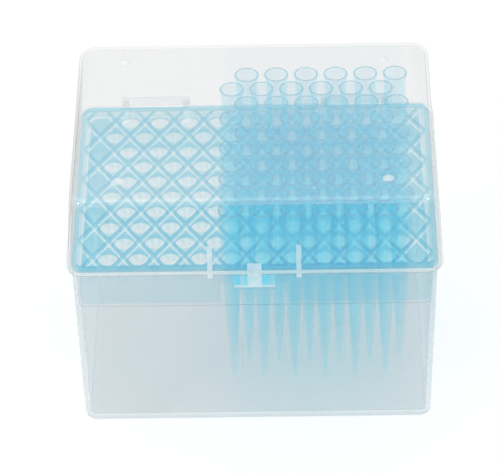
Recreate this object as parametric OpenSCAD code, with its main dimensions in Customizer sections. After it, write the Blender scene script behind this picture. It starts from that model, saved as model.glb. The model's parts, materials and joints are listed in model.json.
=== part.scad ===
// Hinged box of long pipette tips.
// A hazy base tub, a clear lid on two snap hinges, a blue rack that sits on the base's rim,
// and thin tips that stand in the rack's right-hand columns.
// Millimetres. The origin is the centre of the underside, +X runs along the length,
// -Y is the front with the latch, and +Z is up.

/* [Sockets] */
// Rows of sockets from back to front
rows = 10; // [4:1:12]
// Sockets in each row
cols = 10; // [6:1:12]
// Distance between neighbouring sockets in a row
socket_pitch = 11; // [10.5:0.25:12]
// Distance between neighbouring rows
row_pitch = 9; // [8.75:0.05:10]
// Columns at the left that hold no tips
empty_cols = 4; // [0:1:5]
// Radius of the hole in each socket
socket_r = 3.7; // [3.6:0.01:3.8]
// Depth of the countersunk dish around each hole
dish_h = 0.5; // [0.3:0.05:0.8]
// Width of the dish around the hole
dish_w = 0.4; // [0.3:0.05:0.45]

/* [Tips] */
// Overall length of a tip
tip_len = 77; // [60:0.5:85]
// Height of a tip's mouth above the rack plate
tip_stand = 21; // [16:0.5:26]
// Outside radius of the lip around the mouth
mouth_r = 4.5; // [4.4:0.01:4.6]
// Width of the lip's upper face
mouth_face = 0.7; // [0.5:0.05:0.9]
// Height of the lip
mouth_lip_h = 0.8; // [0.5:0.1:1.5]
// How far the lip stands out of the collar
mouth_lip_out = 0.4; // [0.2:0.05:0.5]
// Height of the collar, from the mouth down
collar_h = 3.1; // [2.5:0.1:6]
// Step in radius under the collar, outside and in the bore
collar_step = 0.15; // [0.1:0.01:0.18]
// Outside radius of the body just above the plate
body_r = 3.85; // [3.78:0.01:3.95]
// Outside radius of the stem just below the plate
stem_r = 3.5; // [3.3:0.01:3.55]
// Length of the stem below the plate before the long taper starts
stem_len = 17; // [10:0.5:22]
// Outside radius where the long taper starts
waist_r = 3; // [2.6:0.05:3.2]
// Outside radius of the point
point_r = 0.6; // [0.5:0.05:0.8]
// Radius of the bore at the point
point_bore_r = 0.32; // [0.25:0.01:0.4]
// Wall of a tip
tip_wall = 0.55; // [0.4:0.05:0.65]

/* [Rack] */
// Distance from the outermost socket centres to the outside of the rack at the sides
side_margin = 12.75; // [12:0.25:18]
// Distance from the outermost socket centres to the outside of the rack at front and back
end_margin = 7.5; // [7.5:0.1:12]
// Thickness of the plate
plate_t = 1.5; // [1.2:0.1:2.5]
// Height of the plate's top above the base's rim
plate_rise = 0.7; // [0.5:0.1:1.2]
// Height of the raised rim above the plate
rack_rim_h = 1.1; // [0.8:0.1:2]
// Width of the raised rim
rack_rim_w = 1.6; // [1.2:0.1:2.4]
// Depth of the skirt below the plate's top
skirt_h = 17; // [12:0.5:24]
// Thickness of the skirt
skirt_wall = 1; // [0.8:0.1:1.2]
// Gap between the skirt and the base wall at the rim
skirt_gap = 1; // [0.8:0.05:1.1]
// Corner radius of the skirt, seen from above
skirt_corner_r = 2.6; // [2.2:0.1:4]
// Thickness of the diagonal ribs
rib_t = 1; // [0.8:0.05:1.1]
// Height of the diagonal ribs above the plate
rib_up = 0.9; // [0.5:0.1:1.5]
// Depth of the diagonal ribs below the plate's top
rib_down = 9.5; // [4:0.5:12]
// Width of the notch in the front of the skirt
notch_w = 24.5; // [20:0.5:40]
// Distance from the plate's top down to the notch
notch_drop = 7.8; // [7.2:0.1:9]
// Width of the tongue that hangs into the notch behind the window
tongue_w = 15.4; // [14:0.2:18]
// Length of the tongue below the top of the notch
tongue_h = 3.6; // [2:0.2:6]

/* [Base] */
// Wall of the base
base_wall = 1.4; // [1.2:0.1:1.8]
// Thickness of the floor
floor_t = 1.8; // [1.4:0.1:3]
// Clear height between the tips' points and the floor
point_clear = 15.2; // [5:0.1:25]
// Corner radius of the rim, seen from above
corner_r = 4; // [4:0.5:7]
// How far each side wall leans in from the rim to the foot
base_draft_x = 1.4; // [0.8:0.1:2.2]
// How far the front and back walls lean in from the rim to the foot
base_draft_y = 1.3; // [0.8:0.1:2.4]
// Rounding of the foot edge
foot_r = 3.2; // [2.2:0.1:4]
// Depth of the inner ledge below the rim
ledge_drop = 17.2; // [16.8:0.2:26]
// Width of the inner ledge
ledge_w = 0.5; // [0.3:0.05:0.8]
// Overhang of the rim lip
lip_out = 1.3; // [1:0.1:1.4]
// Thickness of the rim lip
lip_t = 1.3; // [1:0.1:1.6]
// Width of the window that the latch snaps into
window_w = 14.6; // [10:0.2:16]
// Height of the window below the lip
window_h = 6.4; // [5:0.2:8]

/* [Lid] */
// Wall of the lid
lid_wall = 1; // [0.8:0.1:1.4]
// Gap between the rack's rim and the lid
lid_gap = 0.4; // [0.3:0.05:0.8]
// Clear height above the tips' mouths
headroom = 8.5; // [4:0.5:20]
// Corner radius of the top, seen from above
lid_corner_r = 6.2; // [5:0.2:9]
// How far each side wall leans in from the rim to the top
lid_draft_x = 1.9; // [0.6:0.1:2.4]
// How far the front and back walls lean in from the rim to the top
lid_draft_y = 1.5; // [0.6:0.1:3]
// Rounding of the top edge
lid_edge_r = 2.5; // [2:0.25:6]
// Overhang of the lid's flange past its wall
flange_out = 0.6; // [0.4:0.1:1.2]
// Thickness of the lid's flange
flange_t = 1.2; // [1:0.1:2]
// Radius of a stacking dome
dome_r = 2; // [1.5:0.1:3]
// Height of a stacking dome
dome_h = 0.9; // [0.5:0.05:0.95]
// Distance from the middle to the domes along the length
dome_x = 47.5; // [40:0.5:50]
// Distance from the middle to the domes across the depth
dome_y = 35.7; // [28:0.1:37]
// Gap around a dome in the recess of the box above
dome_gap = 0.4; // [0.2:0.1:0.8]

/* [Latch] */
// Width of the latch
latch_w = 5; // [4:0.2:8]
// Height of the latch block above the lid's rim
latch_up = 4.5; // [3:0.1:7]
// Thickness of the latch block in front of the flange
latch_t = 1.6; // [1.2:0.1:2.4]
// Thickness of the tongue below the block
latch_tongue_t = 1; // [0.8:0.1:1.2]
// Length of the latch below the lid's rim
latch_down = 5.4; // [4.8:0.1:7]
// Gap between the latch and the lip
latch_gap = 0.3; // [0.2:0.05:0.5]
// How far the catch reaches in past the edge of the lip
catch_in = 1; // [0.6:0.1:1.2]
// Height of the catch
catch_h = 2.6; // [1.5:0.1:3]
// Distance from the middle to each front rib
front_rib_x = 15.7; // [10:0.5:30]
// Width of a front rib
front_rib_w = 1.8; // [1.2:0.1:3]
// Height of a front rib above the lid's rim
front_rib_up = 12.2; // [6:0.2:18]
// Length of a front rib below the lid's rim
front_rib_down = 1.1; // [0.6:0.1:3]
// How far a front rib stands out of the flange
front_rib_t = 0.6; // [0.4:0.1:1.2]

/* [Hinge] */
// Distance from the middle to each hinge
hinge_x = 37.5; // [20:0.5:45]
// Distance of the hinge axis behind the lid's flange
hinge_back = 2.9; // [2.85:0.05:4]
// Radius of the knuckles
knuckle_r = 2.4; // [2:0.05:2.5]
// Width of the lid's knuckle
knuckle_w = 20; // [6:0.5:24]
// Width of each ear on the base
ear_w = 2.4; // [1.8:0.1:4]
// Side gap between a knuckle and an ear
hinge_gap = 0.3; // [0.2:0.05:0.6]
// Radius of the hinge pin
pin_r = 1.2; // [0.8:0.05:1.5]
// Radial running clearance of the pin in its ears
pin_fit = 0.05; // [0.02:0.01:0.1]
// Height of the gusset under each ear
gusset_h = 4; // [2:0.5:8]

/* [Hidden] */
$fn = 48;
slab_t = 0.01;      // thickness of the slices that a drafted block is stretched over
edge_steps = 6;     // slices around a rounded edge
corner_share = 0.6; // share of an edge's inset that comes off the corner radius too
past = 1;           // how far a cut runs past the face it opens
base_colour = [0.86, 0.90, 0.93, 0.55];
lid_colour = [0.93, 0.94, 0.95, 0.35];
rack_colour = [0.50, 0.78, 0.88, 0.85];
tip_colour = [0.55, 0.82, 0.90, 0.80];

box_w = (cols - 0.5) * socket_pitch + 2 * side_margin;
box_d = (rows - 1) * row_pitch + 2 * end_margin;
base_h = floor_t + point_clear + tip_len - tip_stand - plate_rise;
plate_z = base_h + plate_rise;
rim_z = base_h;
lip_w = box_w + 2 * lip_out;
lip_d = box_d + 2 * lip_out;
rack_floor_z = plate_z - plate_t;
skirt_w = box_w - 2 * (base_wall + skirt_gap);
skirt_d = box_d - 2 * (base_wall + skirt_gap);
lid_w = box_w + 2 * (lid_gap + lid_wall);
lid_d = box_d + 2 * (lid_gap + lid_wall);
lid_rim_corner_r = corner_r + lid_gap + lid_wall;
lid_h = plate_rise + tip_stand + headroom + lid_wall;
flange_w = lid_w + 2 * flange_out;
flange_d = lid_d + 2 * flange_out;
hinge_y = flange_d / 2 + hinge_back;
GROUPS = ["left", "middle", "right"];

function two_digits(n) = n < 10 ? str("0", n) : str(n);
function tip_node(row, group) = str("tips_row_", two_digits(row), "_", GROUPS[group]);

// ---- sockets -------------------------------------------------------------------------------

// Odd rows stand a quarter pitch to the right and even rows a quarter pitch to the left.
function stagger(row) = (row % 2 == 1 ? 1 : -1) * socket_pitch / 4;
function socket_x(row, col) = (col - (cols + 1) / 2) * socket_pitch + stagger(row);
function socket_y(row) = ((rows + 1) / 2 - row) * row_pitch;
// First and last column of a group: the filled columns are shared out over the three groups.
function group_start(group) = empty_cols + 1 + floor(group * (cols - empty_cols) / 3);

// ---- shared shapes -------------------------------------------------------------------------

module rounded_rect(w, d, r) {
    square([w - 2 * r, d], center = true);
    square([w, d - 2 * r], center = true);
    for (x = [-1, 1], y = [-1, 1])
        translate([x * (w / 2 - r), y * (d / 2 - r)]) circle(r);
}

module slab(w, d, r) {
    linear_extrude(slab_t) rounded_rect(w, d, r);
}

// A block with its rim at z = 0 and its closed end at z = h: its walls lean in by draft, its
// corner radius goes from rim_r to end_r, and its closed end's edge is rounded by edge_r.
module drafted_block(w, d, h, draft, rim_r, end_r, edge_r) {
    hull() {
        slab(w, d, rim_r);
        for (i = [0:edge_steps]) {
            a = 90 * i / edge_steps;
            inset = edge_r * (1 - cos(a));
            translate([0, 0, h - edge_r * (1 - sin(a)) - slab_t])
                slab(w - 2 * (draft[0] + inset), d - 2 * (draft[1] + inset), end_r - inset * corner_share);
        }
    }
}

// An outline in the Y-Z plane, drawn as [y, z] points and made w wide along X.
module side_profile(w, points) {
    translate([-w / 2, 0, 0]) rotate([90, 0, 90]) linear_extrude(w) polygon(points);
}

module x_cylinder(r, w) {
    rotate([0, 90, 0]) cylinder(r = r, h = w, center = true);
}

// ---- base ----------------------------------------------------------------------------------

module tub(inset_w, depth, edge_r) {
    share = depth / base_h;
    translate([0, 0, rim_z]) mirror([0, 0, 1])
        drafted_block(box_w - 2 * inset_w, box_d - 2 * inset_w, depth,
            [base_draft_x * share, base_draft_y * share],
            corner_r - inset_w, corner_r - inset_w, edge_r);
}

// Two ears that carry the pin, with the hinge axis in the plane of the rim. Their arms stay
// below the lid's flange.
module hinge_ears() {
    wall_y = box_d / 2 - base_wall;
    for (side = [-1, 1])
        translate([side * (knuckle_w / 2 + hinge_gap + ear_w / 2), 0, rim_z]) {
            translate([0, hinge_y, 0]) x_cylinder(knuckle_r, ear_w);
            side_profile(ear_w, [
                [hinge_y, -hinge_gap], [wall_y, -hinge_gap],
                [wall_y, -knuckle_r - gusset_h], [hinge_y, -knuckle_r]]);
        }
}

module base() {
    ledge_wall = base_wall + ledge_w;
    bore_w = knuckle_w + 2 * (hinge_gap + ear_w + past);
    color(base_colour)
    difference() {
        union() {
            tub(0, base_h, foot_r);
            translate([0, 0, rim_z - lip_t]) linear_extrude(lip_t)
                rounded_rect(lip_w, lip_d, corner_r + lip_out);
            for (side = [-1, 1]) translate([side * hinge_x, 0, 0]) hinge_ears();
        }
        // Upper and lower cavity, with the ledge between them.
        translate([0, 0, slab_t]) tub(base_wall, ledge_drop, slab_t);
        translate([0, 0, slab_t]) tub(ledge_wall, base_h - floor_t, foot_r - base_wall);
        // Latch window.
        translate([-window_w / 2, -box_d / 2 - past, rim_z - lip_t - window_h])
            cube([window_w, base_wall + base_draft_y + 2 * past, window_h]);
        // Recesses that sit over the domes of the box below.
        for (x = [-1, 1], y = [-1, 1]) translate([x * dome_x, y * dome_y, 0]) dome(dome_gap);
        for (side = [-1, 1]) translate([side * hinge_x, hinge_y, rim_z])
            x_cylinder(pin_r + pin_fit, bore_w);
    }
}

// ---- lid -----------------------------------------------------------------------------------

// A spherical cap that stands on z = 0, grown by gap.
module dome(gap) {
    foot = dome_r + gap;
    ball_r = (foot * foot + dome_h * dome_h) / (2 * dome_h);
    intersection() {
        translate([0, 0, dome_h - ball_r]) sphere(ball_r);
        translate([-ball_r, -ball_r, -slab_t]) cube([2 * ball_r, 2 * ball_r, 2 * ball_r]);
    }
}

module cover(inset_w, h, edge_r) {
    share = (h - edge_r) / (lid_h - lid_edge_r);
    drafted_block(lid_w - 2 * inset_w, lid_d - 2 * inset_w, h,
        [lid_draft_x * share, lid_draft_y * share],
        lid_rim_corner_r - inset_w, lid_corner_r - inset_w, edge_r);
}

// Front face of the lid's wall at height z above its rim.
function lid_front(z) = -lid_d / 2 + lid_draft_y * z / (lid_h - lid_edge_r);

module latch() {
    flange_y = -flange_d / 2;
    lip_y = -lip_d / 2;
    block_y = flange_y - latch_t;
    tongue_y = lip_y - latch_gap - latch_tongue_t;
    catch_top = -lip_t - latch_gap;
    side_profile(latch_w, [
        [lid_front(latch_up) + lid_wall / 2, latch_up], [block_y, latch_up - latch_t / 2],
        [block_y, catch_top], [tongue_y, catch_top - latch_tongue_t / 2],
        [tongue_y, -latch_down], [tongue_y + latch_tongue_t, -latch_down],
        [tongue_y + latch_tongue_t, catch_top - catch_h],
        [lip_y + catch_in, catch_top - latch_gap], [lip_y + catch_in, catch_top],
        [tongue_y + latch_tongue_t, catch_top], [tongue_y + latch_tongue_t, 0],
        [lid_front(0) + lid_wall / 2, 0]]);
}

module front_rib() {
    flange_y = -flange_d / 2;
    face_y = flange_y - front_rib_t;
    back_y = -lip_d / 2 - latch_gap;
    side_profile(front_rib_w, [
        [lid_front(front_rib_up) + lid_wall / 2, front_rib_up],
        [lid_front(front_rib_up) - front_rib_t, front_rib_up],
        [face_y, flange_t], [face_y, -front_rib_down], [back_y, -front_rib_down],
        [back_y, 0], [lid_front(0) + lid_wall / 2, 0]]);
}

// A knuckle that stands behind the flange, with a stub pin out of each side.
module lid_knuckle() {
    root_y = lid_d / 2 - lid_wall / 2;
    translate([0, hinge_y, 0]) {
        x_cylinder(knuckle_r, knuckle_w);
        x_cylinder(pin_r, knuckle_w + 2 * (hinge_gap + ear_w));
    }
    side_profile(knuckle_w, [
        [root_y, flange_t], [hinge_y, knuckle_r], [hinge_y, 0], [root_y, 0]]);
}

module lid() {
    color(lid_colour)
    translate([0, 0, rim_z]) {
        difference() {
            union() {
                cover(0, lid_h, lid_edge_r);
                linear_extrude(flange_t)
                    rounded_rect(flange_w, flange_d, lid_rim_corner_r + flange_out);
            }
            translate([0, 0, -slab_t])
                cover(lid_wall, lid_h - lid_wall + slab_t, lid_edge_r - lid_wall);
        }
        for (x = [-1, 1], y = [-1, 1]) translate([x * dome_x, y * dome_y, lid_h]) dome(0);
        latch();
        for (side = [-1, 1]) {
            translate([side * front_rib_x, 0, 0]) front_rib();
            translate([side * hinge_x, 0, 0]) lid_knuckle();
        }
    }
}

// ---- rack ----------------------------------------------------------------------------------

// Diagonal ribs that pass midway between neighbouring sockets, both ways, inside an outline.
module rib_lattice(w, d, r) {
    angle = atan2(row_pitch, socket_pitch / 2);
    reach = (box_w + 1.5 * box_d) / socket_pitch;
    first = (cols % 2) / 2;
    row_shift = (rows - 1) * socket_pitch / 4;
    intersection() {
        rounded_rect(w, d, r);
        for (n = [-ceil(reach / 2):ceil(reach / 2)], lean = [-1, 1])
            translate([(n + first) * socket_pitch + socket_pitch / 4 - lean * row_shift, 0])
                rotate(lean * angle) square([2 * box_w, rib_t], center = true);
    }
}

module sockets() {
    for (row = [1:rows], col = [1:cols])
        translate([socket_x(row, col), socket_y(row), plate_z]) {
            translate([0, 0, -plate_t - past]) cylinder(r = socket_r, h = plate_t + 2 * past);
            translate([0, 0, -dish_h]) cylinder(r1 = socket_r, r2 = socket_r + dish_w, h = dish_h);
        }
}

module rack() {
    rim_inner = 2 * rack_rim_w;
    skirt_inner_w = skirt_w - 2 * skirt_wall;
    skirt_inner_d = skirt_d - 2 * skirt_wall;
    skirt_inner_r = skirt_corner_r - skirt_wall;
    skirt_z = plate_z - skirt_h;
    rib_z = plate_z - rib_down;
    color(rack_colour)
    difference() {
        union() {
            // Flange and raised rim.
            difference() {
                translate([0, 0, rim_z]) linear_extrude(plate_rise + rack_rim_h)
                    rounded_rect(box_w, box_d, corner_r);
                translate([0, 0, plate_z]) linear_extrude(rack_rim_h + past)
                    rounded_rect(box_w - rim_inner, box_d - rim_inner, corner_r - rack_rim_w);
            }
            // Plate and skirt.
            difference() {
                translate([0, 0, skirt_z]) linear_extrude(skirt_h)
                    rounded_rect(skirt_w, skirt_d, skirt_corner_r);
                translate([0, 0, skirt_z - past]) linear_extrude(skirt_h - plate_t + past)
                    rounded_rect(skirt_inner_w, skirt_inner_d, skirt_inner_r);
                front_notch(skirt_z);
            }
            translate([0, 0, plate_z]) linear_extrude(rib_up)
                rib_lattice(box_w - rim_inner, box_d - rim_inner, corner_r - rack_rim_w);
            translate([0, 0, rib_z]) linear_extrude(rib_down - plate_t)
                rib_lattice(skirt_inner_w, skirt_inner_d, skirt_inner_r);
        }
        sockets();
    }
}

// The notch in the front of the skirt, around the tongue that hangs in its middle.
module front_notch(bottom) {
    notch_top = plate_z - notch_drop;
    translate([0, -skirt_d / 2 - past, 0]) difference() {
        translate([-notch_w / 2, 0, bottom - past])
            cube([notch_w, skirt_wall + 2 * past, notch_top - bottom + past]);
        translate([-tongue_w / 2, -past, notch_top - tongue_h])
            cube([tongue_w, skirt_wall + 4 * past, tongue_h + past]);
    }
}

// ---- tips ----------------------------------------------------------------------------------

// One tip, with its seat at z = 0: the shoulder under the body rests in the socket's dish.
module tip() {
    dish_slope = dish_h / dish_w;
    seat_top = -(socket_r + dish_w - body_r) * dish_slope + slab_t;
    seat_low = seat_top - (body_r - stem_r) * dish_slope;
    point_z = tip_stand - tip_len;
    collar_r = mouth_r - mouth_lip_out;
    neck_r = collar_r - collar_step;
    lip_z = tip_stand - mouth_lip_h;
    collar_z = tip_stand - collar_h;
    rotate_extrude()
        polygon([
            [mouth_r, tip_stand], [mouth_r, lip_z], [collar_r, lip_z - mouth_lip_out],
            [collar_r, collar_z], [neck_r, collar_z - collar_step],
            [body_r, seat_top], [stem_r, seat_low], [waist_r, -stem_len], [point_r, point_z],
            [point_bore_r, point_z], [waist_r - tip_wall, -stem_len],
            [stem_r - tip_wall, seat_low], [neck_r - tip_wall, collar_z - collar_step],
            [collar_r - tip_wall, collar_z], [collar_r - tip_wall, lip_z],
            [mouth_r - mouth_face, tip_stand]]);
}

module tip_group(row, group) {
    color(tip_colour)
    for (col = [group_start(group):group_start(group + 1) - 1])
        translate([socket_x(row, col), socket_y(row), plate_z]) tip();
}

base();
lid();
rack();
for (row = [1:rows], group = [0:2])
    tip_group(row, group);
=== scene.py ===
"""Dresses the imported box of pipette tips: hazy base, clear hinged lid, blue rack and thin tips.

Lengths are metres in the model's own frame: the origin is the centre of the underside, +X runs
along the length, -Y is the front with the latch and +Z is up.
"""
import json
import math

import bmesh
import bpy
from mathutils import Matrix, Vector


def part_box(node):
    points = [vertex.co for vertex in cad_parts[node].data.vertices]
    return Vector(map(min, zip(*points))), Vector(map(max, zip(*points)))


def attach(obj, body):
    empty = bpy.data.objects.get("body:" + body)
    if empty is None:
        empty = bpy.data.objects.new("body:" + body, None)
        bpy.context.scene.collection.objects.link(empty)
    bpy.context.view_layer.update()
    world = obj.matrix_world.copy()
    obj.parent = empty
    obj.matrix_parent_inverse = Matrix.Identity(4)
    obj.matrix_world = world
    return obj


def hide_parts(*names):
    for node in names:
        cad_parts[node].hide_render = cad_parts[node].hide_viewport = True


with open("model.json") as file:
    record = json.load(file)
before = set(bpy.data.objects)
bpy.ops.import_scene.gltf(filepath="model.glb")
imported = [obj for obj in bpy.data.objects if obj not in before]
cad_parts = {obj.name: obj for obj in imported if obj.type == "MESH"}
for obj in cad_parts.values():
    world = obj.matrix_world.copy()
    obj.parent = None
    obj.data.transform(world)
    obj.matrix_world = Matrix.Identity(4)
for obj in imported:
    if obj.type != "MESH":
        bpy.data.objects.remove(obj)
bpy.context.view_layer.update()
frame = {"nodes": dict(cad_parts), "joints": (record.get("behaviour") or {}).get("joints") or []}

MM = 0.001

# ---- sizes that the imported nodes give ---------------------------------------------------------

LID_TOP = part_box("lid")[1].z
RACK_LOW, RACK_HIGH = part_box("rack")

# ---- base -------------------------------------------------------------------------------------

BASE_WALL = 1.4 * MM
FLOOR = 1.8 * MM
LIP_OUT = 1.3 * MM
LIP_T = 1.3 * MM
CORNER_R = 4 * MM
BASE_DRAFT = (1.4 * MM, 1.3 * MM)
FOOT_R = 3.2 * MM
FRONT_FOOT_Y = -43 * MM      # in front of this the rounded foot edge is darker and hazier, as painted shade
LEDGE_DROP = 17.2 * MM
LEDGE_W = 0.5 * MM
WINDOW_W = 14.6 * MM
WINDOW_H = 6.4 * MM
EDGE_R = 0.25 * MM           # softening of the rims' edges

# ---- rack -------------------------------------------------------------------------------------

RACK_RIM_H = 1.1 * MM
PLATE_T = 1.5 * MM
SKIRT_IN = 3.5 * MM          # from the rack's outline to just inside its skirt

# ---- lid --------------------------------------------------------------------------------------

LID_WALL = 1 * MM
LID_GAP = 0.4 * MM
FLANGE_OUT = 0.6 * MM
FLANGE_T = 1.2 * MM
LID_CORNER_R = 6.2 * MM
LID_EDGE_R = 2.5 * MM
LID_DRAFT = (1.9 * MM, 1.5 * MM)
DOME_R = 2 * MM
DOME_H = 0.9 * MM
DOME_X = 47.5 * MM
DOME_Y = 35.7 * MM

# ---- latch and front ribs ---------------------------------------------------------------------

LATCH_W = 5 * MM
LATCH_UP = 4.5 * MM
LATCH_T = 1.6 * MM
TONGUE_T = 1 * MM
LATCH_DOWN = 5.4 * MM
LATCH_GAP = 0.3 * MM
CATCH_IN = 1 * MM
CATCH_H = 2.6 * MM
RIB_X = 15.7 * MM
RIB_W = 1.8 * MM
RIB_UP = 12.2 * MM
RIB_DOWN = 1.1 * MM
RIB_T = 0.6 * MM

# ---- hinge ------------------------------------------------------------------------------------

HINGE_X = 37.5 * MM
KNUCKLE_R = 2.4 * MM
KNUCKLE_W = 20 * MM
EAR_W = 2.4 * MM
HINGE_GAP = 0.3 * MM
PIN_R = 1.2 * MM
PIN_FIT = 0.05 * MM
GUSSET_H = 4 * MM

# ---- tips -------------------------------------------------------------------------------------

TIP_LEN = 77 * MM
TIP_STAND = 21 * MM
MOUTH_R = 4.5 * MM
MOUTH_FACE = 0.7 * MM
MOUTH_LIP_H = 0.8 * MM
MOUTH_LIP_OUT = 0.4 * MM
COLLAR_H = 3.1 * MM
COLLAR_STEP = 0.15 * MM
BODY_R = 3.85 * MM
STEM_R = 3.5 * MM
STEM_LEN = 17 * MM
WAIST_R = 3 * MM
POINT_R = 0.6 * MM
POINT_BORE_R = 0.32 * MM
TIP_WALL = 0.55 * MM
SEAT_Z = -0.4 * MM           # where the stem starts, under the top of the plate
MOUTH_EDGE = 0.12 * MM       # softening of the mouth's edges
MOUTH_BAND = 0.2 * MM        # how far down from the mouth the rim looks thicker

# ---- sizes worked out from the above ----------------------------------------------------------

HINGE = Vector(frame["joints"][0]["pos_m"])
BOX_W = 2 * RACK_HIGH.x
BOX_D = 2 * RACK_HIGH.y
RIM_Z = HINGE.z              # the hinge axis lies in the plane of the rim
PLATE_Z = RACK_HIGH.z - RACK_RIM_H
LIP_W = BOX_W + 2 * LIP_OUT
LIP_D = BOX_D + 2 * LIP_OUT
LID_W = BOX_W + 2 * (LID_GAP + LID_WALL)
LID_D = BOX_D + 2 * (LID_GAP + LID_WALL)
LID_H = LID_TOP - DOME_H - RIM_Z
LID_RIM_R = CORNER_R + LID_GAP + LID_WALL
FLANGE_W = LID_W + 2 * FLANGE_OUT
FLANGE_D = LID_D + 2 * FLANGE_OUT

# ---- how the meshes are made ------------------------------------------------------------------

CORNER_STEPS = 10
ROUND_STEPS = 6
LID_EDGE_STEPS = 8
TURN_STEPS = 40
DOME_STEPS = 32
WHOLE_TURN = 2 * math.pi
CORNER_SHARE = 0.6           # share of an edge's inset that comes off the corner radius too
OVER = 1 * MM                # how far a cut runs past the face it opens
NEAR = 0.1 * MM              # how near a place a face has to lie to count as there
FACE_FIT = 0.05 * MM         # the same for the levels of the rack


# ---- mesh helpers -----------------------------------------------------------------------------

def rounded_outline(width, depth, radius):
    """Points of a rounded rectangle, anticlockwise seen from above."""
    points = []
    for quadrant, (side_x, side_y) in enumerate([(1, 1), (-1, 1), (-1, -1), (1, -1)]):
        centre_x = side_x * (width / 2 - radius)
        centre_y = side_y * (depth / 2 - radius)
        for step in range(CORNER_STEPS + 1):
            angle = math.pi / 2 * (quadrant + step / CORNER_STEPS)
            points.append((centre_x + radius * math.cos(angle),
                           centre_y + radius * math.sin(angle)))
    return points


def ring(bm, width, depth, radius, z):
    return [bm.verts.new((x, y, z)) for x, y in rounded_outline(width, depth, radius)]


def skin(bm, rings, closed=False):
    """Joins each ring of vertices to the next one with quads."""
    pairs = list(zip(rings, rings[1:]))
    if closed:
        pairs.append((rings[-1], rings[0]))
    for lower, upper in pairs:
        for i in range(len(lower)):
            j = (i + 1) % len(lower)
            bm.faces.new((lower[i], lower[j], upper[j], upper[i]))


def finish_mesh(bm, name):
    bmesh.ops.recalc_face_normals(bm, faces=bm.faces)
    mesh = bpy.data.meshes.new(name)
    bm.to_mesh(mesh)
    bm.free()
    piece = bpy.data.objects.new(name, mesh)
    bpy.context.scene.collection.objects.link(piece)
    return piece


def stacked_solid(name, sections):
    """A closed solid through rounded rectangles, given as width, depth, corner radius and z."""
    bm = bmesh.new()
    rings = [ring(bm, *section) for section in sections]
    skin(bm, rings)
    bm.faces.new(rings[0])
    bm.faces.new(rings[-1])
    return finish_mesh(bm, name)


def extruded_profile(name, points, width, x):
    """A closed solid with an outline given as (y, z) points, width wide along X around x."""
    bm = bmesh.new()
    sides = [[bm.verts.new((x + side * width / 2, y, z)) for y, z in points] for side in (-1, 1)]
    skin(bm, sides)
    bm.faces.new(sides[0])
    bm.faces.new(sides[1])
    return finish_mesh(bm, name)


def circle(steps):
    """Cosine and sine of the angles of one turn."""
    angles = [WHOLE_TURN * i / steps for i in range(steps)]
    return [(math.cos(a), math.sin(a)) for a in angles]


def lathe(name, profile, steps, closed=True):
    """A solid turned round Z through (radius, z) points."""
    bm = bmesh.new()
    rings = [[bm.verts.new((radius * c, radius * s, z)) for c, s in circle(steps)]
             for radius, z in profile]
    skin(bm, rings, closed)
    return finish_mesh(bm, name)


def x_cylinder(name, radius, width, centre):
    """A closed cylinder along X."""
    bm = bmesh.new()
    rings = [[bm.verts.new((centre[0] + side * width / 2, centre[1] + radius * c,
                            centre[2] + radius * s)) for c, s in circle(TURN_STEPS)]
             for side in (-1, 1)]
    skin(bm, rings)
    bm.faces.new(rings[0])
    bm.faces.new(rings[1])
    return finish_mesh(bm, name)


def arc(centre, radius, start, end):
    """Points along an arc in a plane, angles in degrees."""
    points = []
    for i in range(ROUND_STEPS + 1):
        angle = math.radians(start + (end - start) * i / ROUND_STEPS)
        points.append((centre[0] + radius * math.cos(angle),
                       centre[1] + radius * math.sin(angle)))
    return points


def combine(piece, tools, operation):
    """Adds the tools to the piece or cuts them out of it, and removes them."""
    for tool in tools:
        step = piece.modifiers.new(operation, "BOOLEAN")
        step.operation = operation
        step.solver = "MANIFOLD"
        step.object = tool
        bpy.context.view_layer.update()
        solved = piece.evaluated_get(bpy.context.evaluated_depsgraph_get())
        made = bpy.data.meshes.new_from_object(solved)
        piece.modifiers.clear()
        piece.data = made
        bpy.data.objects.remove(tool)
    return piece


def smooth(piece, sharp_degrees=35):
    """Smooth shading that keeps flat walls flat and sharp edges sharp."""
    mesh = piece.data
    mesh.polygons.foreach_set("use_smooth", [True] * len(mesh.polygons))
    mesh.set_sharp_from_angle(angle=math.radians(sharp_degrees))
    weighted = piece.modifiers.new("weighted_normals", "WEIGHTED_NORMAL")
    weighted.keep_sharp = True
    return piece


# ---- materials --------------------------------------------------------------------------------

POLYPROPYLENE_IOR = 1.49
MIRROR_POWER = 5             # how sharply the mirror share rises towards a glancing angle
GLANCE_MIRROR = 4            # how much more a surface mirrors at a glancing angle


def shader_node(material, kind, **settings):
    made = material.node_tree.nodes.new(kind)
    for key, value in settings.items():
        setattr(made, key, value)
    return made


def mix_shaders(material, share, first, second):
    """Mixes two shaders; share is a number or a node's output."""
    mix = shader_node(material, "ShaderNodeMixShader")
    if isinstance(share, (int, float)):
        mix.inputs["Fac"].default_value = share
    else:
        material.node_tree.links.new(share, mix.inputs["Fac"])
    material.node_tree.links.new(first.outputs[0], mix.inputs[1])
    material.node_tree.links.new(second.outputs[0], mix.inputs[2])
    return mix


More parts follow.
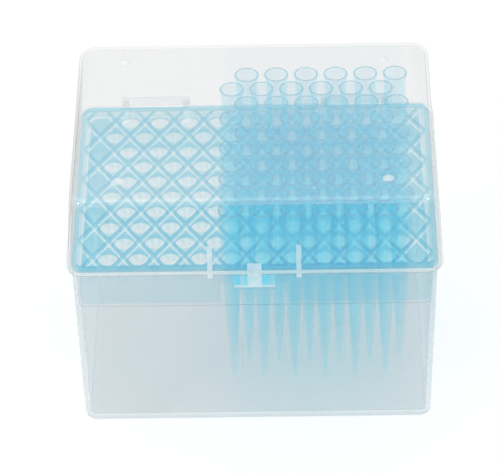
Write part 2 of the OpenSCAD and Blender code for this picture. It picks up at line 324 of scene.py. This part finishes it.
def plastic(name, clear, edge, edge_power, haze, haze_colour, through, roughness, grain,
            grain_scale, mirror, shade, mirror_colour=(1, 1, 1), heights=None, front_wall=None,
            side_mirror=0):
    """A moulded plastic that shows what is behind it.

    clear and edge are what one surface passes, seen straight on and at a glancing angle; haze is
    how much of it scatters light, through is the share of that which scatters forwards, and grain
    is how much the haze varies over the surface. mirror is what it reflects, seen straight on, and
    shade is what it passes of the light that falls through it onto what is behind. heights tints
    the faces by how high they lie: a list of heights, each with the colour from there upwards.
    front_wall tints what lies in front of a place and below a level, both given with its colour,
    and side_mirror is what a glancing surface mirrors, where that isn't the usual share.
    """
    material = bpy.data.materials.new(name)
    material.use_nodes = True
    links = material.node_tree.links
    material.node_tree.nodes.clear()

    def node(kind, **settings):
        return shader_node(material, kind, **settings)

    output = node("ShaderNodeOutputMaterial")
    coords = node("ShaderNodeTexCoord")
    noise = node("ShaderNodeTexNoise")
    noise.inputs["Scale"].default_value = grain_scale
    noise.inputs["Detail"].default_value = 1
    links.new(coords.outputs["Object"], noise.inputs["Vector"])

    facing = node("ShaderNodeLayerWeight")
    facing.inputs["Blend"].default_value = 0.5
    glance = node("ShaderNodeMath", operation="POWER")
    glance.inputs[1].default_value = edge_power
    links.new(facing.outputs["Facing"], glance.inputs[0])
    tint = node("ShaderNodeMix", data_type="RGBA")
    tint.inputs["A"].default_value = (*clear, 1)
    tint.inputs["B"].default_value = (*edge, 1)
    links.new(glance.outputs[0], tint.inputs["Factor"])
    passed = tint.outputs["Result"]
    if heights:
        place = node("ShaderNodeSeparateXYZ")
        links.new(coords.outputs["Object"], place.inputs[0])
        layer = node("ShaderNodeMapRange")
        layer.inputs["From Min"].default_value = heights[0][0]
        layer.inputs["From Max"].default_value = heights[-1][0]
        links.new(place.outputs["Z"], layer.inputs["Value"])
        layers = node("ShaderNodeValToRGB")
        layers.color_ramp.interpolation = "CONSTANT"
        stops = layers.color_ramp.elements
        reach = heights[-1][0] - heights[0][0]
        for height, _ in heights[1:-1]:
            stops.new((height - heights[0][0]) / reach)
        for stop, (_, colour) in zip(stops, heights):
            stop.color = (*colour, 1)
        links.new(layer.outputs["Result"], layers.inputs["Fac"])
        both = node("ShaderNodeMix", data_type="RGBA", blend_type="MULTIPLY")
        both.inputs["Factor"].default_value = 1
        links.new(passed, both.inputs["A"])
        links.new(layers.outputs["Color"], both.inputs["B"])
        passed = both.outputs["Result"]
    if front_wall:
        place_y, level, colour = front_wall
        ahead = node("ShaderNodeMath", operation="LESS_THAN")
        ahead.inputs[1].default_value = place_y
        links.new(place.outputs["Y"], ahead.inputs[0])
        below = node("ShaderNodeMath", operation="LESS_THAN")
        below.inputs[1].default_value = level
        links.new(place.outputs["Z"], below.inputs[0])
        here = node("ShaderNodeMath", operation="MULTIPLY")
        links.new(ahead.outputs[0], here.inputs[0])
        links.new(below.outputs[0], here.inputs[1])
        wall_tint = node("ShaderNodeMix", data_type="RGBA", blend_type="MULTIPLY")
        wall_tint.inputs["B"].default_value = (*colour, 1)
        links.new(here.outputs[0], wall_tint.inputs["Factor"])
        links.new(passed, wall_tint.inputs["A"])
        passed = wall_tint.outputs["Result"]
    see_through = node("ShaderNodeBsdfTransparent")
    links.new(passed, see_through.inputs["Color"])

    body = node("ShaderNodeBsdfPrincipled")
    body.inputs["Base Color"].default_value = (*haze_colour, 1)
    body.inputs["Roughness"].default_value = roughness
    body.inputs["IOR"].default_value = POLYPROPYLENE_IOR
    glow = node("ShaderNodeBsdfTranslucent")
    glow.inputs["Color"].default_value = (*haze_colour, 1)
    scatter = mix_shaders(material, through, body, glow)

    amount = node("ShaderNodeMapRange")
    amount.inputs["To Min"].default_value = haze * (1 - grain)
    amount.inputs["To Max"].default_value = haze * (1 + grain)
    links.new(noise.outputs["Fac"], amount.inputs["Value"])
    wall = mix_shaders(material, amount.outputs["Result"], see_through, scatter)

    slant = node("ShaderNodeMath", operation="POWER")
    slant.inputs[1].default_value = MIRROR_POWER
    links.new(facing.outputs["Facing"], slant.inputs[0])
    shine_share = node("ShaderNodeMapRange")
    shine_share.inputs["To Min"].default_value = mirror
    shine_share.inputs["To Max"].default_value = side_mirror or GLANCE_MIRROR * mirror
    links.new(slant.outputs[0], shine_share.inputs["Value"])
    shine = node("ShaderNodeBsdfGlossy")
    shine.inputs["Roughness"].default_value = roughness
    shine.inputs["Color"].default_value = (*mirror_colour, 1)
    gloss = mix_shaders(material, shine_share.outputs["Result"], wall, shine)

    passes = node("ShaderNodeBsdfTransparent")
    passes.inputs["Color"].default_value = (*shade, 1)
    path = node("ShaderNodeLightPath")
    seen = mix_shaders(material, path.outputs["Is Camera Ray"], passes, gloss)
    links.new(seen.outputs[0], output.inputs["Surface"])
    return material


GREY_LIGHT = (0.97, 0.97, 0.97)
BASE_LIGHT = (0.96, 0.97, 0.975)
TIP_LIGHT = (0.74, 0.958, 0.98)
LID_GRAIN = dict(roughness=0.08, grain=0.3, grain_scale=60)
THICK_GRAIN = dict(roughness=0.15, grain=0.2, grain_scale=300)
BASE_GRAIN = dict(roughness=0.3, grain=0.3, grain_scale=700)
CUT_GRAIN = dict(roughness=0.3, grain=0.3, grain_scale=300)
TIP_GRAIN = dict(roughness=0.12, grain=0.3, grain_scale=120)

LID_PLASTIC = plastic(
    "lid_clear_polypropylene", clear=(0.965, 0.965, 0.965), edge=(0.72, 0.73, 0.74), edge_power=5,
    haze=0.02, haze_colour=(0.9, 0.92, 0.93), through=0.3, mirror=0.03, shade=GREY_LIGHT,
    **LID_GRAIN)
# The flat top: a hazier, whiter copy of the lid plastic, whose extra haze is painted sheen of the
# light the top catches.
LID_TOP_SHEEN_PLASTIC = plastic(
    "lid_top_painted_sheen", clear=(0.965, 0.965, 0.965), edge=(0.80, 0.81, 0.82), edge_power=5,
    haze=0.06, haze_colour=(0.95, 0.96, 0.97), through=0.3, mirror=0.065, shade=GREY_LIGHT,
    **LID_GRAIN)
# The front top edge: a whiter, hazier copy of the lid plastic, a painted highlight along the front
# edge only.
LID_EDGE_HIGHLIGHT_PLASTIC = plastic(
    "lid_edge_painted_highlight", clear=(0.975, 0.975, 0.975), edge=(0.80, 0.81, 0.82), edge_power=5,
    haze=0.06, haze_colour=(0.97, 0.98, 0.99), through=0.3, mirror=0.06, shade=GREY_LIGHT,
    **LID_GRAIN)
LATCH_PLASTIC = plastic(
    "lid_thick_polypropylene", clear=(0.93, 0.95, 0.96), edge=(0.80, 0.84, 0.86), edge_power=3,
    haze=0.52, haze_colour=(0.95, 0.97, 0.98), through=0.4, mirror=0.05, shade=GREY_LIGHT,
    **THICK_GRAIN)
# The domes: white haze that is a painted highlight on each dome.
DOME_HIGHLIGHT_PLASTIC = plastic(
    "lid_dome_painted_highlight", clear=(0.95, 0.95, 0.95), edge=(0.85, 0.86, 0.87), edge_power=3,
    haze=0.6, haze_colour=(0.89, 0.90, 0.91), through=0.3, mirror=0.05, shade=GREY_LIGHT,
    **THICK_GRAIN)
BASE_PLASTIC = plastic(
    "base_hazy_polypropylene", clear=(0.951, 0.957, 0.961), edge=(0.88, 0.91, 0.93), edge_power=4,
    haze=0.21, haze_colour=(0.77, 0.83, 0.86), through=0.8, mirror=0.03, shade=BASE_LIGHT,
    side_mirror=0.6, **BASE_GRAIN)
SILL_PLASTIC = plastic(
    "base_cut_polypropylene", clear=(0.95, 0.96, 0.97), edge=(0.85, 0.88, 0.9), edge_power=3,
    haze=0.6, haze_colour=(0.95, 0.97, 0.98), through=0.3, mirror=0.04, shade=BASE_LIGHT,
    **CUT_GRAIN)
# The front foot edge: a darker copy of the base plastic, painted shade along the bottom front
# edge.
FOOT_SHADE_PLASTIC = plastic(
    "base_foot_painted_shade", clear=(0.90, 0.92, 0.93), edge=(0.86, 0.89, 0.91), edge_power=4,
    haze=0.25, haze_colour=(0.66, 0.73, 0.76), through=0.6, mirror=0.005, shade=BASE_LIGHT,
    **BASE_GRAIN)
EAR_PLASTIC = plastic(
    "base_ear_polypropylene", clear=(0.975, 0.98, 0.983), edge=(0.80, 0.83, 0.85), edge_power=3,
    haze=0.07, haze_colour=(0.86, 0.89, 0.91), through=0.5, mirror=0.03, shade=(0.98, 0.98, 0.98),
    **CUT_GRAIN)
RIB_TINT = (0.60, 0.88, 0.95)
UNDER_PLATE = PLATE_Z - PLATE_T
RACK_LAYERS = [
    (RACK_LOW.z, (0.94, 0.985, 0.995)),
    (UNDER_PLATE - FACE_FIT, (0.54, 0.86, 0.95)),
    (UNDER_PLATE + FACE_FIT, (0.75, 0.93, 0.97)),
    (PLATE_Z - FACE_FIT, (0.90, 0.975, 0.99)),
    (PLATE_Z + FACE_FIT, RIB_TINT),
    (RACK_HIGH.z, RIB_TINT)]
RACK_SKIRT = (SKIRT_IN - BOX_D / 2, UNDER_PLATE - FACE_FIT, (0.92, 0.98, 0.995))
RACK_PLASTIC = plastic(
    "rack_blue_polypropylene", clear=(1, 1, 1), edge=(0.92, 0.98, 0.99), edge_power=5,
    haze=0.01, haze_colour=(0.6, 0.88, 0.95), through=0.5, roughness=0.15, grain=0.3,
    grain_scale=120, mirror=0.006, shade=(0.99, 0.99, 0.99), heights=RACK_LAYERS,
    front_wall=RACK_SKIRT)
TIP_PLASTIC = plastic(
    "tip_blue_polypropylene", clear=(0.98, 0.998, 0.999), edge=(0.78, 0.93, 0.96), edge_power=6,
    haze=0.004, haze_colour=(0.85, 0.95, 0.99), through=0.5, mirror=0.07, shade=TIP_LIGHT,
    mirror_colour=(0.20, 0.80, 0.985), **TIP_GRAIN)
MOUTH_PLASTIC = plastic(
    "tip_rim_polypropylene", clear=(0.40, 0.70, 0.78), edge=(0.40, 0.70, 0.78), edge_power=3,
    haze=0.004, haze_colour=(0.85, 0.95, 0.99), through=0.5, mirror=0.17, shade=TIP_LIGHT,
    mirror_colour=(0.72, 0.90, 1), **TIP_GRAIN)


def dress(piece, material):
    piece.data.materials.clear()
    piece.data.materials.append(material)
    return piece


def dress_faces(piece, material, chosen):
    """Gives the faces that are chosen by their centre and normal a material of their own."""
    piece.data.materials.append(material)
    slot = len(piece.data.materials) - 1
    for face in piece.data.polygons:
        if chosen(face.center, face.normal):
            face.material_index = slot
    return piece


# ---- base -------------------------------------------------------------------------------------

def base_section(inset, depth):
    """Width, depth and corner radius of the base's wall, at an inset and a depth below the rim."""
    share = depth / RIM_Z
    return (BOX_W - 2 * (inset + BASE_DRAFT[0] * share),
            BOX_D - 2 * (inset + BASE_DRAFT[1] * share), CORNER_R - inset)


def foot_sections(inset, radius, depth):
    """Sections round the foot edge, from the wall down to the floor at depth below the rim."""
    sections = []
    for i in range(ROUND_STEPS + 1):
        angle = math.pi / 2 * i / ROUND_STEPS
        width, across, corner = base_section(inset, depth)
        shrink = radius * (1 - math.cos(angle))
        z = RIM_Z - depth + radius * (1 - math.sin(angle))
        sections.append((width - 2 * shrink, across - 2 * shrink,
                         corner - shrink * CORNER_SHARE, z))
    return sections


def rim_band(width, depth, radius, low, high):
    """Sections of a rim with softened edges, from its low face to its high one."""
    softened = (width - 2 * EDGE_R, depth - 2 * EDGE_R, radius - EDGE_R)
    full = (width, depth, radius)
    return [(*softened, low), (*full, low + EDGE_R), (*full, high - EDGE_R), (*softened, high)]


def make_base():
    lip_low = RIM_Z - LIP_T
    outside = foot_sections(0, FOOT_R, RIM_Z)[::-1]
    outside += [(*base_section(0, LIP_T), lip_low)]
    outside += rim_band(LIP_W, LIP_D, CORNER_R + LIP_OUT, lip_low, RIM_Z)
    base = stacked_solid("base_tub", outside)
    ledge_wall = BASE_WALL + LEDGE_W
    upper = stacked_solid("upper_cavity", [
        (*base_section(BASE_WALL, LEDGE_DROP), RIM_Z - LEDGE_DROP),
        (*base_section(BASE_WALL, 0), RIM_Z + OVER)])
    lower_sections = foot_sections(ledge_wall, FOOT_R - BASE_WALL, RIM_Z - FLOOR)[::-1]
    lower_sections += [(*base_section(ledge_wall, LEDGE_DROP - OVER), RIM_Z - LEDGE_DROP + OVER)]
    lower = stacked_solid("lower_cavity", lower_sections)
    window_low = lip_low - WINDOW_H
    window_out = -BOX_D / 2 - BASE_WALL
    window_in = -BOX_D / 2 + 2 * BASE_WALL
    window = extruded_profile("window", [
        (window_out, window_low), (window_in, window_low),
        (window_in, lip_low), (window_out, lip_low)], WINDOW_W, 0)
    ears, bores = [], []
    wall_y = BOX_D / 2 - BASE_WALL
    for hinge in (-HINGE_X, HINGE_X):
        for side in (-1, 1):
            x = hinge + side * (KNUCKLE_W / 2 + HINGE_GAP + EAR_W / 2)
            ears.append(x_cylinder("ear_eye", KNUCKLE_R, EAR_W, (x, HINGE.y, HINGE.z)))
            ears.append(extruded_profile("ear_arm", [
                (HINGE.y, HINGE.z - HINGE_GAP), (wall_y, HINGE.z - HINGE_GAP),
                (wall_y, HINGE.z - KNUCKLE_R - GUSSET_H), (HINGE.y, HINGE.z - KNUCKLE_R)],
                EAR_W, x))
        bore_w = KNUCKLE_W + 2 * (HINGE_GAP + EAR_W) + OVER
        bores.append(x_cylinder("pin_bore", PIN_R + PIN_FIT, bore_w, (hinge, HINGE.y, HINGE.z)))
    combine(base, ears, "UNION")
    combine(base, [upper, lower, window, *bores], "DIFFERENCE")
    dress(base, BASE_PLASTIC)
    # The window's cut faces, the hinge ears, the ledge at the back and the front foot edge,
    # darkened there as painted shade.
    dress_faces(base, SILL_PLASTIC, lambda at, normal: at.y < window_in
                and abs(at.x) < WINDOW_W / 2 + NEAR and window_low - NEAR < at.z < lip_low - NEAR
                and abs(normal.y) < 0.5)
    dress_faces(base, EAR_PLASTIC, lambda at, normal: at.y > LIP_D / 2 + NEAR)
    dress_faces(base, EAR_PLASTIC, lambda at, normal: abs(at.z - RIM_Z + LEDGE_DROP) < NEAR
                and at.y > BOX_D / 2 - 4 * BASE_WALL)
    dress_faces(base, FOOT_SHADE_PLASTIC, lambda at, normal: at.z < FOOT_R
                and at.y < FRONT_FOOT_Y and abs(normal.z) < 0.97)
    return smooth(base)


# ---- lid --------------------------------------------------------------------------------------

def lid_sections(inset, height, edge_r):
    """Sections of the lid's wall and rounded top edge, inset from its face."""
    share = (height - edge_r) / (LID_H - LID_EDGE_R)
    rim = (LID_W - 2 * inset, LID_D - 2 * inset, LID_RIM_R - inset)
    sections = [(*rim, RIM_Z)]
    for i in range(LID_EDGE_STEPS + 1):
        angle = math.pi / 2 * i / LID_EDGE_STEPS
        shrink = edge_r * (1 - math.cos(angle))
        sections.append((rim[0] - 2 * (LID_DRAFT[0] * share + shrink),
                         rim[1] - 2 * (LID_DRAFT[1] * share + shrink),
                         LID_CORNER_R - inset - shrink * CORNER_SHARE,
                         RIM_Z + height - edge_r * (1 - math.sin(angle))))
    return sections


def lid_front(z):
    """Y of the lid's front face at height z above its rim."""
    return -LID_D / 2 + LID_DRAFT[1] * z / (LID_H - LID_EDGE_R)


def latch_solid():
    flange_y, lip_y = -FLANGE_D / 2, -LIP_D / 2
    block_y = flange_y - LATCH_T
    tongue_y = lip_y - LATCH_GAP - TONGUE_T
    catch_top = -LIP_T - LATCH_GAP
    outline = [
        (lid_front(LATCH_UP) + LID_WALL / 2, LATCH_UP), (block_y, LATCH_UP - LATCH_T / 2),
        (block_y, catch_top), (tongue_y, catch_top - TONGUE_T / 2), (tongue_y, -LATCH_DOWN),
        (tongue_y + TONGUE_T, -LATCH_DOWN), (tongue_y + TONGUE_T, catch_top - CATCH_H),
        (lip_y + CATCH_IN, catch_top - LATCH_GAP), (lip_y + CATCH_IN, catch_top),
        (tongue_y + TONGUE_T, catch_top), (tongue_y + TONGUE_T, 0),
        (lid_front(0) + LID_WALL / 2, 0)]
    return extruded_profile("latch", [(y, RIM_Z + z) for y, z in outline], LATCH_W, 0)


def front_rib_solid(x):
    flange_y = -FLANGE_D / 2
    face_y = flange_y - RIB_T
    back_y = -LIP_D / 2 - LATCH_GAP
    outline = [
        (lid_front(RIB_UP) + LID_WALL / 2, RIB_UP), (lid_front(RIB_UP) - RIB_T, RIB_UP),
        (face_y, FLANGE_T), (face_y, -RIB_DOWN), (back_y, -RIB_DOWN), (back_y, 0),
        (lid_front(0) + LID_WALL / 2, 0)]
    return extruded_profile("front_rib", [(y, RIM_Z + z) for y, z in outline], RIB_W, x)


def knuckle_solids(x):
    """Arm, knuckle and the pin whose ends run in the base's ears."""
    root_y = LID_D / 2 - LID_WALL / 2
    outline = [(root_y, FLANGE_T), (HINGE.y, KNUCKLE_R), (HINGE.y, 0), (root_y, 0)]
    centre = (x, HINGE.y, HINGE.z)
    return [extruded_profile("knuckle_arm", [(y, RIM_Z + z) for y, z in outline], KNUCKLE_W, x),
            x_cylinder("knuckle", KNUCKLE_R, KNUCKLE_W, centre),
            x_cylinder("hinge_pin", PIN_R, KNUCKLE_W + 2 * (HINGE_GAP + EAR_W), centre)]


def dome_solid(x, y):
    ball_r = (DOME_R ** 2 + DOME_H ** 2) / (2 * DOME_H)
    top = RIM_Z + LID_H
    reach = math.degrees(math.asin(min(1, DOME_R / ball_r)))
    profile = [(DOME_R, -LID_WALL / 2)]
    profile += arc((0, DOME_H - ball_r), ball_r, 90 - reach, 89)
    dome = lathe("dome", profile, DOME_STEPS, closed=False)
    bm = bmesh.new()
    bm.from_mesh(dome.data)
    bmesh.ops.holes_fill(bm, edges=bm.edges)
    bmesh.ops.recalc_face_normals(bm, faces=bm.faces)
    bmesh.ops.translate(bm, verts=bm.verts, vec=(x, y, top))
    bm.to_mesh(dome.data)
    bm.free()
    return dome


def make_lid():
    outside = lid_sections(0, LID_H, LID_EDGE_R)
    flange = rim_band(FLANGE_W, FLANGE_D, LID_RIM_R + FLANGE_OUT, RIM_Z, RIM_Z + FLANGE_T)
    share = FLANGE_T / (LID_H - LID_EDGE_R)
    wall_foot = (LID_W - 2 * LID_DRAFT[0] * share, LID_D - 2 * LID_DRAFT[1] * share, LID_RIM_R,
                 RIM_Z + FLANGE_T)
    lid = stacked_solid("lid_shell", flange + [wall_foot] + outside[1:])
    inside = lid_sections(LID_WALL, LID_H - LID_WALL, LID_EDGE_R - LID_WALL)
    cavity = stacked_solid("lid_cavity", [(*inside[0][:3], RIM_Z - OVER)] + inside)
    combine(lid, [cavity], "DIFFERENCE")
    added = [latch_solid(), front_rib_solid(-RIB_X), front_rib_solid(RIB_X)]
    for side in (-1, 1):
        added += knuckle_solids(side * HINGE_X)
        added += [dome_solid(side * DOME_X, y) for y in (-DOME_Y, DOME_Y)]
    combine(lid, added, "UNION")
    dress(lid, LID_PLASTIC)
    top = RIM_Z + LID_H
    # The front top edge outside and inside, whitened as a painted highlight, then the flat top,
    # hazier as painted sheen, and the domes on it, white as painted highlights.
    dress_faces(lid, LID_EDGE_HIGHLIGHT_PLASTIC, lambda at, normal: at.z > top - LID_EDGE_R
                and normal.y < -0.2 and abs(normal.z) > 0.1)
    dress_faces(lid, LID_EDGE_HIGHLIGHT_PLASTIC, lambda at, normal: at.z > top - LID_EDGE_R
                and at.y < 0 and normal.y > 0.2 and normal.z < -0.1)
    dress_faces(lid, LID_TOP_SHEEN_PLASTIC, lambda at, normal: at.z > top - LID_WALL - NEAR
                and abs(normal.z) > 0.95)
    dress_faces(lid, DOME_HIGHLIGHT_PLASTIC, lambda at, normal: at.z > top + NEAR)
    # The flange, then the latch and the front ribs, then the hinge knuckles.
    dress_faces(lid, LATCH_PLASTIC, lambda at, normal: at.z < RIM_Z + FLANGE_T + NEAR
                and (abs(at.x) > LID_W / 2 - NEAR or abs(at.y) > LID_D / 2 - NEAR)
                and at.y < HINGE.y - KNUCKLE_R)
    dress_faces(lid, LATCH_PLASTIC, lambda at, normal: abs(at.x) < RIB_X + RIB_W
                and at.y < lid_front(max(0, at.z - RIM_Z)) - EDGE_R / 2)
    dress_faces(lid, EAR_PLASTIC, lambda at, normal: at.y > FLANGE_D / 2 + NEAR)
    return smooth(lid)


# ---- tips -------------------------------------------------------------------------------------

def tip_profile():
    """Outside from the mouth down to the point, then the bore back up, about the plate's top."""
    point_z = TIP_STAND - TIP_LEN
    collar_r = MOUTH_R - MOUTH_LIP_OUT
    neck_r = collar_r - COLLAR_STEP
    lip_z = TIP_STAND - MOUTH_LIP_H
    collar_z = TIP_STAND - COLLAR_H
    outside = [
        (MOUTH_R - MOUTH_FACE + MOUTH_EDGE, TIP_STAND), (MOUTH_R - MOUTH_EDGE, TIP_STAND),
        (MOUTH_R, TIP_STAND - MOUTH_EDGE), (MOUTH_R, lip_z), (collar_r, lip_z - MOUTH_LIP_OUT),
        (collar_r, collar_z), (neck_r, collar_z - COLLAR_STEP), (BODY_R, 0), (STEM_R, SEAT_Z),
        (WAIST_R, -STEM_LEN), (POINT_R, point_z)]
    inside = [
        (POINT_BORE_R, point_z), (WAIST_R - TIP_WALL, -STEM_LEN), (STEM_R - TIP_WALL, SEAT_Z),
        (neck_r - TIP_WALL, collar_z - COLLAR_STEP), (collar_r - TIP_WALL, collar_z),
        (collar_r - TIP_WALL, lip_z), (MOUTH_R - MOUTH_FACE, TIP_STAND - MOUTH_EDGE)]
    return outside + inside


def make_tips():
    """Every tip shares the first one's mesh."""
    first = None
    for node_name in sorted(n for n in frame["nodes"] if n.startswith("tips_row_")):
        low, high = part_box(node_name)
        _, _, row, group = node_name.split("_")
        for mark, x in (("a", low.x + MOUTH_R), ("b", high.x - MOUTH_R)):
            name = f"tip_row_{row}_{group}_{mark}"
            if first is None:
                tip = dress(lathe(name, tip_profile(), TURN_STEPS), TIP_PLASTIC)
                dress_faces(tip, MOUTH_PLASTIC, lambda at, normal: at.z > TIP_STAND - MOUTH_BAND)
                first = tip
            else:
                tip = bpy.data.objects.new(name, first.data)
                bpy.context.scene.collection.objects.link(tip)
            smooth(tip, 40)
            tip.location = (x, (low.y + high.y) / 2, PLATE_Z)
            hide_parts(node_name)
            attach(tip, "base")


# ---- the object -------------------------------------------------------------------------------

base = make_base()
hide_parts("base")
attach(base, "base")

lid = make_lid()
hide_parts("lid")
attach(lid, "lid")

frame["nodes"]["rack"].material_slots[0].material = RACK_PLASTIC

make_tips()

# ---- stage ------------------------------------------------------------------------------------

FLOOR_GREY = (0.96, 0.96, 0.96, 1)
FLOOR_WHITE = 0.72           # how much of the floor that is seen is plain white
FLOOR_DROP = 0.2 * MM        # keeps the floor clear of the underside
FLOOR_SIZE = 4
ROOM_LIGHT = 0.75
WHITE = (1, 1, 1, 1)


def seen_directly(material):
    """1 for rays that show a surface: from the camera, mirrored or bent by glass, otherwise 0."""
    path = shader_node(material, "ShaderNodeLightPath")
    share = path.outputs["Is Camera Ray"]
    for kind in ("Is Glossy Ray", "Is Transmission Ray"):
        either = shader_node(material, "ShaderNodeMath", operation="MAXIMUM")
        material.node_tree.links.new(share, either.inputs[0])
        material.node_tree.links.new(path.outputs[kind], either.inputs[1])
        share = either.outputs[0]
    return share


def make_floor():
    bm = bmesh.new()
    bmesh.ops.create_grid(bm, x_segments=1, y_segments=1, size=FLOOR_SIZE)
    floor = finish_mesh(bm, "floor")
    material = bpy.data.materials.new("white_floor")
    material.use_nodes = True
    material.node_tree.nodes.clear()
    output = shader_node(material, "ShaderNodeOutputMaterial")
    matt = shader_node(material, "ShaderNodeBsdfDiffuse")
    matt.inputs["Color"].default_value = FLOOR_GREY
    white = shader_node(material, "ShaderNodeEmission")
    backdrop = mix_shaders(material, FLOOR_WHITE, matt, white)
    surface = mix_shaders(material, seen_directly(material), matt, backdrop)
    material.node_tree.links.new(surface.outputs[0], output.inputs["Surface"])
    floor.data.materials.append(material)
    floor.location.z = -FLOOR_DROP


def make_world():
    world = bpy.data.worlds.new("studio")
    world.use_nodes = True
    world.node_tree.nodes.clear()
    output = shader_node(world, "ShaderNodeOutputWorld")
    room = shader_node(world, "ShaderNodeBackground")
    room.inputs["Color"].default_value = WHITE
    room.inputs["Strength"].default_value = ROOM_LIGHT
    white = shader_node(world, "ShaderNodeBackground")
    white.inputs["Color"].default_value = WHITE
    white.inputs["Strength"].default_value = 1
    mix = mix_shaders(world, seen_directly(world), room, white)
    world.node_tree.links.new(mix.outputs[0], output.inputs["Surface"])
    bpy.context.scene.world = world


def make_lamp(name, position, target, size, power):
    lamp = bpy.data.objects.new(name, bpy.data.lights.new(name, "AREA"))
    lamp.data.shape = "RECTANGLE"
    lamp.data.size, lamp.data.size_y = size
    lamp.data.energy = power
    lamp.location = position
    lamp.rotation_euler = (Vector(target) - Vector(position)).to_track_quat("-Z", "Y").to_euler()
    bpy.context.scene.collection.objects.link(lamp)


def make_camera():
    """From the front and well above, turned and rolled by about a degree."""
    target = Vector((-2.24 * MM, 0, 48.97 * MM))
    distance = 1.17057
    height, turn, roll = math.radians(38.7), math.radians(1.11), math.radians(-1.46)
    back = Vector((math.sin(turn) * math.cos(height), -math.cos(turn) * math.cos(height),
                   math.sin(height)))
    right = (-back).cross(Vector((0, 0, 1))).normalized()
    up = back.cross(right)
    side = right * math.cos(roll) + up * math.sin(roll)
    top = up * math.cos(roll) - right * math.sin(roll)
    camera = bpy.data.objects.new("camera", bpy.data.cameras.new("camera"))
    camera.data.sensor_width = 36
    camera.data.lens = 227.705
    camera.data.clip_start, camera.data.clip_end = 0.05, 20
    camera.matrix_world = Matrix((side, top, back)).transposed().to_4x4()
    camera.matrix_world.translation = target + back * distance
    bpy.context.scene.collection.objects.link(camera)
    bpy.context.scene.camera = camera


make_floor()
make_world()
middle = (0, 0, PLATE_Z)
make_lamp("top_softbox", (0, 0.25, 1.1), middle, (1.8, 1.2), 4.5)
make_lamp("left_softbox", (-0.9, -0.5, 0.7), middle, (0.2, 0.2), 3.5)
make_lamp("right_softbox", (0.9, -0.5, 0.7), middle, (0.2, 0.2), 2)
make_camera()

scene = bpy.context.scene
scene.view_settings.view_transform = "Standard"
scene.cycles.transparent_max_bounces = 96
scene.cycles.max_bounces = 4
scene.cycles.diffuse_bounces = 1
scene.cycles.glossy_bounces = 1
